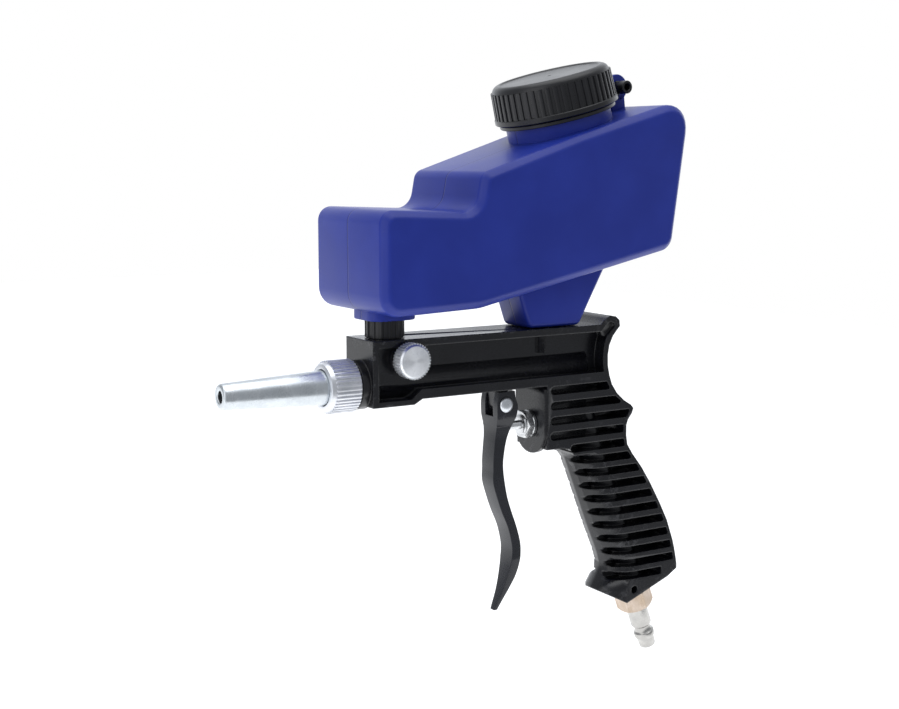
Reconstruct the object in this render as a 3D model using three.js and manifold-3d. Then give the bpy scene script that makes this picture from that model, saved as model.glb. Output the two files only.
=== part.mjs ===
// Gravity-feed sandblasting gun: cast gun body, blow-moulded hopper, screw cap, nozzle set,
// trigger, air valve and air inlet. Millimetres, +Z up, the nozzle points toward -X.
// Every dimension is on the nozzle axis: x = 0 is the front face of the gun body and z = 0 is
// the nozzle axis. The last lines move the whole model, so that the centre of the grip is the origin.
import * as THREE from 'three';
import { mergeVertices } from 'three/addons/utils/BufferGeometryUtils.js';
import Module from 'manifold-3d';

const wasm = await Module();
wasm.setup();

// ---------- driving dimensions ----------
const GRIP_CENTRE = [155, 0, -80];

const BODY = { half: 13.9, top: 22.4, bottom: -7.7, chin: -10.2, web: 6, tubeR: 9.6, edge: 3.7 };
const BORE = { nozzleR: 6.0, airR: 4.0, socketR: 8.1 };
const SPOUT = { x: 14, spigotR: 8.0, collarR: 9.8, boreR: 5.6, bottom: 8, top: 44 };

const NOZZLE = { tip: -73.6, tipR: 6.3, rearX: -15.5, rearR: 8.6, boreR: 2.8, flangeR: 9.8 };
const NUT = { front: -21.0, rear: -4.6, r: 13.0, flutes: 45, fluteDepth: 0.55 };
const NECK = { collarR: 12.2, threadR: 10.0, front: -13.6 };

const KNOB = { x: 18.4, z: 12.5, r: 8.8, inner: -15.5, outer: -23.4 };

const TRIGGER = { pivot: [80.9, -16.3], earHalf: 8, bladeHalf: 5.6, slotHalf: 3.7, pinR: 2.0 };
const VALVE = { z: -29.2, bossHalf: 13.6, bossFront: 101.3, nutAF: 13.6, stemR: 2.4, chamberR: 6 };

const GRIP = {
  half: 13.9,
  frontRound: 13.5,
  front: [
    [-44, 119.2], [-49.5, 123.7], [-57.6, 127.1], [-66.4, 130.6], [-78.8, 135.5], [-89.6, 139.8],
    [-101.7, 145.1], [-107.1, 147.2], [-111.9, 148.6], [-115.8, 148.3], [-120.1, 146.0],
    [-125.3, 142.6], [-136, 142.6],
  ],
  rear: [
    [-44, 155.9], [-47.3, 157.7], [-55.8, 164.8], [-66.7, 172.0], [-79.5, 179.4], [-89.8, 184.7],
    [-100.1, 188.6], [-109, 191.0], [-116.1, 192.3], [-136, 192.3],
  ],
  grooveGap: 4.5,
  coreR: 8.5,
};
const GROOVES = [
  { z: -10.5, front: 104.8 }, { z: -18.7, front: 104.8 }, { z: -26.7, front: 104.8 },
  { z: -34.8, front: 104.8 }, { z: -42.6, front: 118 }, { z: -49.9 }, { z: -57.3 }, { z: -64.9 },
  { z: -72.5 }, { z: -80.1 }, { z: -87.8 }, { z: -95.8 }, { z: -103.5 }, { z: -110.8 }, { z: -118.0 },
];

const INLET = { x: 172.9, z: -135.2, tilt: 20.3, boreR: 5, threadR: 6.6, hexAcross: 20.8, plugR: 5.8 };

const HOPPER = { half: 35.7, edge: 3.5, wall: 2.5 };
const LUG = { x: 154.6, z: 146.5, r: 7, half: 1.7 };
const CAP = {
  tilt: 15.2, base: [119.2, 123.8], neckR: 27.6, neckBoreR: 24.8, neckTop: 24.1, gap: 9.9,
  height: 19.6, bandR: 32.4, skirtR: 31.5, boreR: 28.1, roof: 3.2,
};

// ---------- small tools ----------
const rad = (deg) => (deg * Math.PI) / 180;
const X_AXIS = new THREE.Vector3(1, 0, 0);
const Y_AXIS = new THREE.Vector3(0, 1, 0);
const Z_AXIS = new THREE.Vector3(0, 0, 1);

// A closed geometry becomes a solid that can be joined and cut.
function solid(geometry) {
  const bare = geometry.clone();
  for (const name of Object.keys(bare.attributes)) {
    if (name !== 'position') bare.deleteAttribute(name);
  }
  const merged = mergeVertices(bare, 1e-4);
  return new wasm.Manifold(new wasm.Mesh({
    numProp: 3,
    vertProperties: new Float32Array(merged.attributes.position.array),
    triVerts: new Uint32Array(merged.index.array),
  }));
}

// A solid becomes a geometry with flat facets.
function geometryOf(shape) {
  const mesh = shape.getMesh();
  const geometry = new THREE.BufferGeometry();
  geometry.setAttribute('position', new THREE.BufferAttribute(new Float32Array(mesh.vertProperties), 3));
  geometry.setIndex(new THREE.BufferAttribute(new Uint32Array(mesh.triVerts), 1));
  geometry.computeVertexNormals();
  return geometry;
}

const join = (first, ...rest) => rest.reduce((sum, shape) => sum.add(shape), first);
const cut = (first, ...rest) => rest.reduce((sum, shape) => sum.subtract(shape), first);

function shapeOf(points) {
  return new THREE.Shape(points.map(([u, v]) => new THREE.Vector2(u, v)));
}

// An outline in the XZ plane, drawn out along Y from y0 to y1.
function alongY(points, y0, y1) {
  const geometry = new THREE.ExtrudeGeometry(shapeOf(points), { depth: y1 - y0, bevelEnabled: false });
  geometry.rotateX(Math.PI / 2);
  geometry.translate(0, y1, 0);
  return solid(geometry);
}

// An outline in the YZ plane, drawn out along X from x0 to x1.
function alongX(points, x0, x1) {
  const geometry = new THREE.ExtrudeGeometry(shapeOf(points), { depth: x1 - x0, bevelEnabled: false });
  geometry.rotateX(Math.PI / 2);
  geometry.rotateZ(Math.PI / 2);
  geometry.translate(x0, 0, 0);
  return solid(geometry);
}

function box(x0, x1, y0, y1, z0, z1) {
  const geometry = new THREE.BoxGeometry(x1 - x0, y1 - y0, z1 - z0);
  geometry.translate((x0 + x1) / 2, (y0 + y1) / 2, (z0 + z1) / 2);
  return solid(geometry);
}

// A turned profile of [radius, distance along the axis], from a point on the axis to another.
function turnedGeometry(profile, axis, origin = [0, 0, 0], segments = 40) {
  const points = profile.map(([r, h]) => new THREE.Vector2(r, h));
  const geometry = new THREE.LatheGeometry(points, segments);
  const turn = new THREE.Quaternion().setFromUnitVectors(Y_AXIS, axis.clone().normalize());
  geometry.applyQuaternion(turn);
  geometry.translate(...origin);
  return geometry;
}

function turned(profile, axis, origin, segments) {
  const rising = profile[0][1] <= profile[profile.length - 1][1] ? profile : [...profile].reverse();
  const ends = [[0, rising[0][1]], ...rising, [0, rising[rising.length - 1][1]]];
  return solid(turnedGeometry(ends, axis, origin, segments));
}

// A ring or tube whose closed profile stays clear of the axis.
function ring(profile, axis, origin, segments) {
  return solid(turnedGeometry([...profile, profile[0]], axis, origin, segments));
}

function rod(axis, origin, r, from, to, segments = 32) {
  return turned([[r, from], [r, to]], axis, origin, segments);
}

// Rounds each corner of a loop of [u, v, radius].
function rounded(corners, steps = 5) {
  const out = [];
  const n = corners.length;
  for (let i = 0; i < n; i += 1) {
    const [x, y, r] = corners[i];
    const before = corners[(i + n - 1) % n];
    const after = corners[(i + 1) % n];
    if (!r) {
      out.push([x, y]);
      continue;
    }
    const a = new THREE.Vector2(before[0] - x, before[1] - y).normalize();
    const b = new THREE.Vector2(after[0] - x, after[1] - y).normalize();
    const half = Math.acos(THREE.MathUtils.clamp(a.dot(b), -1, 1)) / 2;
    const reach = r / Math.tan(half);
    const centre = a.clone().add(b).normalize().multiplyScalar(r / Math.sin(half));
    const start = a.clone().multiplyScalar(reach).sub(centre);
    const end = b.clone().multiplyScalar(reach).sub(centre);
    let sweep = end.angle() - start.angle();
    if (sweep > Math.PI) sweep -= 2 * Math.PI;
    if (sweep < -Math.PI) sweep += 2 * Math.PI;
    for (let k = 0; k <= steps; k += 1) {
      const angle = start.angle() + (sweep * k) / steps;
      out.push([x + centre.x + r * Math.cos(angle), y + centre.y + r * Math.sin(angle)]);
    }
  }
  return out;
}

// Moves every corner of a counter-clockwise loop inward by a distance.
function inset(points, distance) {
  const n = points.length;
  return points.map((p, i) => {
    const a = new THREE.Vector2(p[0] - points[(i + n - 1) % n][0], p[1] - points[(i + n - 1) % n][1]).normalize();
    const b = new THREE.Vector2(points[(i + 1) % n][0] - p[0], points[(i + 1) % n][1] - p[1]).normalize();
    const normal = new THREE.Vector2(-a.y - b.y, a.x + b.x).normalize();
    const stretch = 1 / Math.max(0.3, Math.abs(normal.dot(new THREE.Vector2(-a.y, a.x))));
    return [p[0] + normal.x * distance * stretch, p[1] + normal.y * distance * stretch];
  });
}

// Skins a stack of loops that all have the same number of points, and caps both ends.
function loft(loops) {
  const n = loops[0].length;
  const positions = loops.flat(2);
  const index = [];
  for (let k = 0; k + 1 < loops.length; k += 1) {
    for (let i = 0; i < n; i += 1) {
      const j = (i + 1) % n;
      const a = k * n + i;
      const b = k * n + j;
      const c = (k + 1) * n + j;
      const d = (k + 1) * n + i;
      index.push(a, b, c, a, c, d);
    }
  }
  const flat = (loop) => {
    const [p, q] = loop[0][2] === loop[1][2] && loop[0][2] === loop[2][2] ? [0, 1] : [0, 2];
    return loop.map((v) => new THREE.Vector2(v[p], v[q]));
  };
  const last = (loops.length - 1) * n;
  const caps = THREE.ShapeUtils.triangulateShape(flat(loops[0]), []);
  const area = THREE.ShapeUtils.area(flat(loops[0]));
  for (const [a, b, c] of caps) {
    if (area > 0) {
      index.push(c, b, a, last + a, last + b, last + c);
    } else {
      index.push(a, b, c, last + c, last + b, last + a);
    }
  }
  const geometry = new THREE.BufferGeometry();
  geometry.setAttribute('position', new THREE.Float32BufferAttribute(positions, 3));
  geometry.setIndex(index);
  const made = solid(geometry);
  if (made.volume() > 0) return made;
  for (let t = 0; t < index.length; t += 3) index.splice(t, 3, index[t], index[t + 2], index[t + 1]);
  geometry.setIndex(index);
  return solid(geometry);
}

// Reads a table of [height, value] rows at a height in between.
function tableAt(rows, z) {
  for (let i = 0; i + 1 < rows.length; i += 1) {
    const [z0, v0] = rows[i];
    const [z1, v1] = rows[i + 1];
    if ((z <= z0 && z >= z1) || (z >= z0 && z <= z1)) return v0 + ((v1 - v0) * (z - z0)) / (z1 - z0);
  }
  return z > rows[0][0] ? rows[0][1] : rows[rows.length - 1][1];
}

// A toothed outline of a round bar, for knurls, flutes and ribs.
function toothed(r, depth, count) {
  const points = [];
  for (let i = 0; i < count; i += 1) {
    const step = (2 * Math.PI) / count;
    const at = i * step;
    points.push([r * Math.cos(at), r * Math.sin(at)]);
    points.push([(r - depth) * Math.cos(at + 0.5 * step), (r - depth) * Math.sin(at + 0.5 * step)]);
  }
  return points;
}

function toothedRod(r, depth, count, axis, origin, from, to) {
  const geometry = new THREE.ExtrudeGeometry(shapeOf(toothed(r, depth, count)), {
    depth: to - from, bevelEnabled: false,
  });
  geometry.translate(0, 0, from);
  geometry.applyQuaternion(new THREE.Quaternion().setFromUnitVectors(Z_AXIS, axis.clone().normalize()));
  geometry.translate(...origin);
  return solid(geometry);
}

function hexRod(across, axis, origin, from, to) {
  const geometry = new THREE.CylinderGeometry(across / 2, across / 2, to - from, 6);
  geometry.translate(0, (from + to) / 2, 0);
  geometry.applyQuaternion(new THREE.Quaternion().setFromUnitVectors(Y_AXIS, axis.clone().normalize()));
  geometry.translate(...origin);
  return solid(geometry);
}

// ---------- model tree ----------
const gun = new THREE.Group();
gun.name = 'sandblasting_gun';

const finishes = {
  satinBlack: { color: 0x24252a, roughness: 0.5, metalness: 0.3 },
  triggerGrey: { color: 0x34353c, roughness: 0.45, metalness: 0.3 },
  bluePlastic: { color: 0x2f3c96, roughness: 0.35, metalness: 0.0 },
  blackPlastic: { color: 0x17181b, roughness: 0.5, metalness: 0.0 },
  brightAluminium: { color: 0xd9dce2, roughness: 0.3, metalness: 1.0 },
  brightSteel: { color: 0xd4dae4, roughness: 0.18, metalness: 1.0 },
  zincSteel: { color: 0xc8ccd2, roughness: 0.35, metalness: 1.0 },
  springSteel: { color: 0x9a9ca0, roughness: 0.4, metalness: 1.0 },
  paleBrass: { color: 0xd8c79a, roughness: 0.3, metalness: 1.0 },
  nickel: { color: 0xd6d3cc, roughness: 0.28, metalness: 1.0 },
  blackRubber: { color: 0x111111, roughness: 0.85, metalness: 0.0 },
  whiteNylon: { color: 0xe6e4dc, roughness: 0.5, metalness: 0.0 },
};

function addPiece(name, shape, finish) {
  const mesh = new THREE.Mesh(geometryOf(shape), new THREE.MeshStandardMaterial(finishes[finish]));
  mesh.name = name;
  gun.add(mesh);
  return mesh;
}

// Axes used by several pieces.
const gripAxis = new THREE.Vector3(Math.sin(rad(INLET.tilt)), 0, -Math.cos(rad(INLET.tilt)));
const gripOrigin = [INLET.x, 0, INLET.z];
const capAxis = new THREE.Vector3(-Math.sin(rad(CAP.tilt)), 0, Math.cos(rad(CAP.tilt)));
const capOrigin = [CAP.base[0], 0, CAP.base[1]];
const valveOrigin = [0, 0, VALVE.z];
const knobOrigin = [KNOB.x, 0, KNOB.z];
const minusY = Y_AXIS.clone().negate();

// ---------- gun body ----------
const REAR_EDGE = [
  [22.4, 137.2], [20.9, 149.5], [18.9, 147.5], [15.9, 144.9], [11.2, 142.6], [5.9, 141.7],
  [0.5, 141.8], [-5, 142.9], [-10, 144.7], [-15.1, 148.2], [-19.4, 153], [-22.3, 157.8],
  [-24.3, 159.6], [-27, 158.6], [-30.3, 156], [-33.2, 155], [-38.7, 155], [-44.3, 155.9],
];

function strapAt(z) {
  if (z < -114.5) return 181.5;
  const edge = z > -44.3 ? tableAt(REAR_EDGE, z) : tableAt(GRIP.rear, z);
  return edge - (z > -24 ? 2.4 : 1.7);
}

function gripSection(z) {
  const front = tableAt(GRIP.front, z);
  const rear = tableAt(GRIP.rear, z);
  const loop = rounded([
    [front, -GRIP.half, GRIP.frontRound], [rear, -GRIP.half, 0],
    [rear, GRIP.half, 0], [front, GRIP.half, GRIP.frontRound],
  ], 4);
  return loop.map(([x, y]) => [x, y, z]);
}

function gunBody() {
  const upper = alongY([
    [0, BODY.chin], [23, BODY.chin], [27.5, BODY.bottom], [102.8, BODY.bottom], [102.8, -41.6],
    [112, -41.6], [117.5, -42.6], [120.5, -46.4], [157.2, -46.4], [155.9, -44.3], [155, -38.7], [155, -33.2],
    [156, -30.3], [158.6, -27], [159.6, -24.3], [157.8, -22.3], [153, -19.4], [148.2, -15.1],
    [144.7, -10], [142.9, -5], [141.8, 0.5], [141.7, 5.9], [142.6, 11.2], [144.9, 15.9],
    [147.5, 18.9], [149.5, 20.9], [149.1, 24.2], [146.7, 26.2], [143.3, 26.9], [140, 25.2],
    [137, BODY.top], [0, BODY.top],
  ], -BODY.half, BODY.half);
  const levels = [-44, -49.5, -57.6, -66.4, -78.8, -89.6, -101.7, -107.1, -111.9, -115.8, -120.1, -125.3, -136];
  const grip = loft(levels.map(gripSection));
  const underGrip = alongY([
    [125, -116.2], [157.5, -133.1], [186, -122.1], [192.9, -117.8], [205, -112], [205, -150], [125, -150],
  ], -20, 20);
  let body = join(upper, cut(grip, underGrip));

  // Side recesses leave a web, with a flange above and below it.
  const recess = [
    [3.2, -7.6], [21.5, -7.6], [27, -3], [139.6, -3], [138.9, 0.5], [138.8, 6], [139.6, 12],
    [140.9, 16], [139.5, 18.7], [3.2, 18.7],
  ];
  const hookPocket = [
    [137, 18.0], [140.3, 15.4], [142.6, 17.4], [146.3, 20.9], [146, 22.6], [143.3, 23.6],
    [141.5, 22.8], [138.4, 19.8],
  ];
  const spoutTower = box(3, 25, -9.6, 9.6, 0, 20);
  const knobBoss = rod(minusY, knobOrigin, 6, 0, 13.2, 24);
  const stiffener = box(101.3, 105.4, -7.5, 7.5, 9, 19);
  const tube = rod(X_AXIS, [0, 0, 0], BODY.tubeR, 1, 132, 32).intersect(box(0, 140, -12, 12, BODY.bottom + 0.1, 12));
  for (const side of [-1, 1]) {
    const [near, far] = side < 0 ? [-20, -BODY.web] : [BODY.web, 20];
    const [shallowNear, shallowFar] = side < 0 ? [-20, -11.6] : [11.6, 20];
    body = cut(body, alongY(recess, near, far), alongY(hookPocket, shallowNear, shallowFar));
  }
  body = join(body, spoutTower, knobBoss, stiffener, tube);

  // Grooves across the grip, each stopped short of the rear edge by a thin back strap.
  for (const groove of GROOVES) {
    const low = groove.z - GRIP.grooveGap / 2;
    const high = groove.z + GRIP.grooveGap / 2;
    const round = groove.front === undefined;
    const front = round ? tableAt(GRIP.front, groove.z) + 0.9 : groove.front;
    const slot = rounded([
      [front, low, 2.1], [strapAt(low), low, 1], [strapAt(high), high, 1], [front, high, 2.1],
    ], 2);
    for (const side of [-1, 1]) {
      const [near, far] = side < 0 ? [-20, -2] : [2, 20];
      body = cut(body, alongY(slot, near, far));
    }
  }
  const bottomPocket = rod(Y_AXIS, [162.5, 0, -126.3], 2.3, 8, 20, 10);
  const bottomPocketNear = rod(Y_AXIS, [162.5, 0, -126.3], 2.3, -20, -8, 10);
  body = cut(body, bottomPocket, bottomPocketNear);
  const core = rod(gripAxis, gripOrigin, GRIP.coreR, -118, -7.6, 24);
  const valveBlock = box(101.5, 131, -9.2, 9.2, -41.5, -8);
  const boss = alongX(rounded([
    [-VALVE.bossHalf, -8.4, 4], [-VALVE.bossHalf, -44.9, 13], [VALVE.bossHalf, -44.9, 13], [VALVE.bossHalf, -8.4, 4],
  ], 6), VALVE.bossFront, 104);
  body = join(body, core, valveBlock, boss);

  // Nozzle neck, trigger lug and the face of the front block.
  const neckCollar = rod(X_AXIS, [0, 0, 0], NECK.collarR, -4.3, 1, 40);
  const neckThread = rod(X_AXIS, [0, 0, 0], NECK.threadR, NECK.front, 0, 40);
  const lug = join(
    box(76.9, 84.9, -3.4, 3.4, -16.3, -6),
    rod(Y_AXIS, [TRIGGER.pivot[0], 0, TRIGGER.pivot[1]], 4, -3.4, 3.4, 24),
  );
  body = join(body, neckCollar, neckThread, lug);

  // Bores: media and air passages, spout socket, knob thread, valve chamber, inlet.
  const drills = [
    rod(X_AXIS, [0, 0, 0], BORE.nozzleR, -20, 45, 32),
    rod(X_AXIS, [0, 0, 0], BORE.airR, 40, 114, 20),
    rod(Z_AXIS, [SPOUT.x, 0, 0], BORE.socketR, SPOUT.bottom - 0.4, 30, 32),
    rod(Z_AXIS, [SPOUT.x, 0, 0], SPOUT.boreR, 0, 12, 24),
    rod(minusY, knobOrigin, 2.6, 5, 20, 20),
    rod(Y_AXIS, [TRIGGER.pivot[0], 0, TRIGGER.pivot[1]], TRIGGER.pinR + 0.05, -5, 5, 20),
    rod(X_AXIS, valveOrigin, VALVE.chamberR, 98, 131, 28),
    rod(Z_AXIS, [112, 0, 0], 3, VALVE.z, 0, 16),
    rod(gripAxis, gripOrigin, INLET.boreR, -113, 0, 24),
    rod(gripAxis, gripOrigin, INLET.threadR, -22, 0, 24),
  ];
  return cut(body, ...drills);
}
addPiece('gun_body', gunBody(), 'satinBlack');

// ---------- nozzle set ----------
addPiece('nozzle', cut(
  turned([
    [0, NOZZLE.tip], [NOZZLE.tipR - 1.4, NOZZLE.tip], [NOZZLE.tipR - 0.4, NOZZLE.tip + 0.45],
    [NOZZLE.tipR, NOZZLE.tip + 1.5], [NOZZLE.rearR, NUT.front], [NOZZLE.rearR, -17.9],
    [NOZZLE.flangeR, -17.9], [NOZZLE.flangeR, NOZZLE.rearX],
  ], X_AXIS, [0, 0, 0], 36),
  rod(X_AXIS, [0, 0, 0], NOZZLE.boreR, -80, -10, 20),
), 'brightSteel');

addPiece('nozzle_seal', ring([
  [3.2, -15.2], [9.2, -15.2], [9.2, -13.9], [3.2, -13.9],
], X_AXIS, [0, 0, 0], 28), 'blackRubber');

const nutBlank = toothedRod(NUT.r, NUT.fluteDepth, NUT.flutes, X_AXIS, [0, 0, 0], NUT.front, NUT.rear);
const nutEnvelope = turned([
  [NUT.r - 2.6, NUT.front], [NUT.r + 0.2, NUT.front + 3.0], [NUT.r + 0.2, NUT.rear - 0.9], [NUT.r - 0.7, NUT.rear],
], X_AXIS, [0, 0, 0], 45);
addPiece('nozzle_nut', cut(
  nutBlank.intersect(nutEnvelope),
  rod(X_AXIS, [0, 0, 0], 8.9, -30, -18.9, 40),
  rod(X_AXIS, [0, 0, 0], 10.2, -19.0, 0, 40),
), 'brightAluminium');
addPiece('nut_washer', ring([
  [8.95, -18.85], [9.9, -18.85], [9.9, -18.05], [8.95, -18.05],
], X_AXIS, [0, 0, 0], 36), 'whiteNylon');

// ---------- air jet inside the block ----------
addPiece('air_jet', cut(
  turned([
    [1.9, 7.5], [3.2, 10.5], [3.2, 30], [5.9, 31.2], [5.9, 43.2],
  ], X_AXIS, [0, 0, 0], 24),
  rod(X_AXIS, [0, 0, 0], 1.2, 0, 45, 12),
  rod(X_AXIS, [0, 0, 0], 2.6, 20, 45, 12),
), 'paleBrass');
addPiece('air_jet_ring', ring([
  [4.2, 43.5], [5.8, 43.5], [5.8, 44.7], [4.2, 44.7],
], X_AXIS, [0, 0, 0], 20), 'blackRubber');

// ---------- spout between the hopper and the block ----------
function collarLoop(r, z) {
  return toothed(r, 0.8, 12).map(([x, y]) => [x + SPOUT.x, y, z]);
}
addPiece('hopper_spout', cut(
  join(
    rod(Z_AXIS, [SPOUT.x, 0, 0], SPOUT.spigotR, SPOUT.bottom, 24, 32),
    loft([collarLoop(SPOUT.collarR, BODY.top + 0.3), collarLoop(SPOUT.collarR, 31.2)]),
    rod(Z_AXIS, [SPOUT.x, 0, 0], 7.4, 30, SPOUT.top, 28),
  ),
  rod(Z_AXIS, [SPOUT.x, 0, 0], SPOUT.boreR - 0.4, 0, 60, 24),
), 'blackPlastic');

// ---------- thumb screw that locks the spout ----------
addPiece('lock_knob', cut(
  turned([
    [KNOB.r - 0.5, -KNOB.inner], [KNOB.r, -KNOB.inner + 0.6], [KNOB.r, -KNOB.outer - 1.3],
    [KNOB.r - 1.3, -KNOB.outer],
  ], minusY, knobOrigin, 40),
  rod(minusY, knobOrigin, 2.6, 10, 21, 20),
), 'brightAluminium');
addPiece('lock_screw', rod(minusY, knobOrigin, 2.5, 8.2, 20.6, 20), 'zincSteel');
addPiece('lock_washer', ring([
  [2.75, 13.5], [5.6, 13.5], [5.6, 15.2], [2.75, 15.2],
], minusY, knobOrigin, 24), 'whiteNylon');

// ---------- trigger ----------
const TRIGGER_ROWS = [
  [-9.5, 76.8, 86.4], [-13.7, 75.8, 86.9], [-17.5, 75.5, 88.3], [-22.7, 75.7, 87.5], [-27.3, 76.0, 85.9],
  [-31.3, 76.0, 84.1], [-38, 75.4, 82.2], [-45.8, 74.8, 81.0], [-51.1, 74.8, 81.0], [-57.6, 74.8, 81.9],
  [-65.9, 77.3, 83.6], [-73.7, 80.2, 86.2], [-82.2, 84.0, 89.4], [-90.1, 86.2, 91.7], [-95.7, 86.9, 92.3],
  [-102.1, 86.2, 91.8], [-108.9, 84.6, 90.1], [-114.4, 83.0, 87.4], [-119.2, 81.3, 84.6],
  [-123.1, 79.6, 82.2], [-127.2, 77.9, 79.9],
];
function triggerSolid() {
  const side = [
    ...TRIGGER_ROWS.map(([z, front]) => [front, z]),
    ...[...TRIGGER_ROWS].reverse().map(([z, , rear]) => [rear, z]),
  ].reverse();
  const b = TRIGGER.bladeHalf;
  const e = TRIGGER.earHalf;
  const face = [
    [-1.8, -128], [1.8, -128], [3.6, -114], [b, -100], [b, -34], [b + 0.8, -28], [e, -23],
    [e, -8], [-e, -8], [-e, -23], [-b - 0.8, -28], [-b, -34], [-b, -100], [-3.6, -114],
  ];
  const pivot = [TRIGGER.pivot[0], 0, TRIGGER.pivot[1]];
  return cut(
    alongY(side, -12, 12).intersect(alongX(face, 60, 110)),
    box(60, 110, -TRIGGER.slotHalf, TRIGGER.slotHalf, -22.6, 0),
    rod(Y_AXIS, pivot, TRIGGER.pinR + 0.08, -12, 12, 20),
  );
}
addPiece('trigger', triggerSolid(), 'triggerGrey');
const pivotAt = [TRIGGER.pivot[0], 0, TRIGGER.pivot[1]];
addPiece('trigger_pin', turned([
  [2.6, 8.3 + 1.7], [3.6, 8.3 + 1.2], [4.0, 8.3 + 0.4], [4.0, 8.3], [TRIGGER.pinR, 8.3], [TRIGGER.pinR, -10.4],
], minusY, pivotAt, 24), 'zincSteel');
addPiece('trigger_pin_clip', ring([
  [2.1, 8.35], [3.6, 8.35], [3.6, 9.2], [2.1, 9.2],
], Y_AXIS, pivotAt, 20), 'springSteel');

// ---------- air valve ----------
addPiece('valve_gland', cut(
  join(
    hexRod(2 * VALVE.nutAF / Math.sqrt(3), X_AXIS, valveOrigin, 95.4, 99.4),
    turned([[5.2, 94.4], [6.6, 95.6]], X_AXIS, valveOrigin, 24),
    rod(X_AXIS, valveOrigin, 7.2, 99.2, 101.0, 24),
    rod(X_AXIS, valveOrigin, 5.9, 100, 106, 28),
  ),
  rod(X_AXIS, valveOrigin, VALVE.stemR + 0.06, 90, 110, 24),
), 'nickel');
addPiece('valve_stem_seal', ring([
  [VALVE.stemR + 0.08, 106.3], [5.6, 106.3], [5.6, 108.6], [VALVE.stemR + 0.08, 108.6],
], X_AXIS, valveOrigin, 24), 'blackRubber');
addPiece('valve_seat', ring([
  [3.4, 117.5], [5.9, 117.5], [5.9, 120.4], [3.4, 120.4],
], X_AXIS, valveOrigin, 28), 'paleBrass');
addPiece('valve_stem', turned([
  [0.9, 85.7], [1.8, 86.2], [VALVE.stemR, 87.8], [VALVE.stemR, 122.4],
], X_AXIS, valveOrigin, 24), 'nickel');
addPiece('valve_poppet', cut(
  turned([[4.6, 120.7], [4.6, 123.4], [3.4, 124.2]], X_AXIS, valveOrigin, 24),
  rod(X_AXIS, valveOrigin, VALVE.stemR + 0.05, 118, 122.7, 24),
), 'blackRubber');

// ---------- air inlet ----------
addPiece('inlet_washer', ring([
  [6.9, -7.0], [9.4, -7.0], [9.4, -6.0], [6.9, -6.0],
], gripAxis, gripOrigin, 28), 'paleBrass');
addPiece('inlet_fitting', cut(
  join(
    rod(gripAxis, gripOrigin, INLET.threadR - 0.1, -21.6, -5, 24),
    hexRod(INLET.hexAcross, gripAxis, gripOrigin, -5.7, 5.4)
      .intersect(turned([[9.2, -5.7], [10.6, -5.0], [10.6, 4.5], [9.2, 5.4]], gripAxis, gripOrigin, 24)),
  ),
  rod(gripAxis, gripOrigin, 4, -30, 20, 20),
  rod(gripAxis, gripOrigin, 5.1, -3, 20, 20),
), 'paleBrass');
addPiece('quick_plug', cut(
  turned([
    [5.0, -2.6], [5.0, 5.7], [INLET.plugR, 5.7], [INLET.plugR, 17.5], [4.6, 18.6], [4.6, 21.4],
    [INLET.plugR, 22.4], [INLET.plugR, 25.4], [4.9, 26.6], [4.5, 31.4], [3.8, 32.1],
  ], gripAxis, gripOrigin, 28),
  rod(gripAxis, gripOrigin, 2.9, -10, 40, 16),
), 'nickel');

// ---------- hopper ----------
const HOPPER_LOOP = rounded([
  [-6, 35.4, 10], [49, 37.4, 30], [167.8, 62.7, 8], [179.3, 141.5, 13], [108, 121.6, 60], [50, 102.6, 5.5],
  [46.5, 84, 9], [-6, 86.2, 7],
], 6);

function hopperShell(grow, half, edge) {
  const full = inset(HOPPER_LOOP, grow);
  const small = inset(HOPPER_LOOP, grow + edge);
  const at = (loop, y) => loop.map(([x, z]) => [x, y, z]);
  return loft([at(small, -half), at(full, -half + edge), at(full, half - edge), at(small, half)]);
}

function hopperSolid() {
  const padLoop = rounded([[1, -12.7, 7], [27, -12.7, 7], [27, 12.7, 7], [1, 12.7, 7]], 4);
  const pad = loft([
    padLoop.map(([x, y]) => [x, y, 31.5]),
    padLoop.map(([x, y]) => [x, y, 38]),
  ]);
  const foot = alongY([[92.5, 22.8], [124, 22.8], [142, 55], [84.5, 46]], -12.6, 12.6);
  const outer = join(
    hopperShell(0, HOPPER.half, HOPPER.edge),
    pad,
    foot,
    rod(capAxis, capOrigin, CAP.neckR, -8, CAP.neckTop, 48),
    rod(Y_AXIS, [LUG.x, 0, LUG.z], LUG.r, -LUG.half, LUG.half, 24),
    alongY([[152.2, 131], [161, 131], [159.5, 143.5], [150.4, 141.8]], -LUG.half, LUG.half),
  );
  const inner = hopperShell(HOPPER.wall, HOPPER.half - HOPPER.wall, HOPPER.edge - 1.5);
  return cut(
    outer,
    inner,
    rod(capAxis, capOrigin, CAP.neckBoreR, -10, 40, 40),
    rod(Z_AXIS, [SPOUT.x, 0, 0], 7.6, 25, 50, 28),
    rod(Y_AXIS, [LUG.x, 0, LUG.z], 3.1, -5, 5, 16),
  );
}
addPiece('hopper', hopperSolid(), 'bluePlastic');

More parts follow.
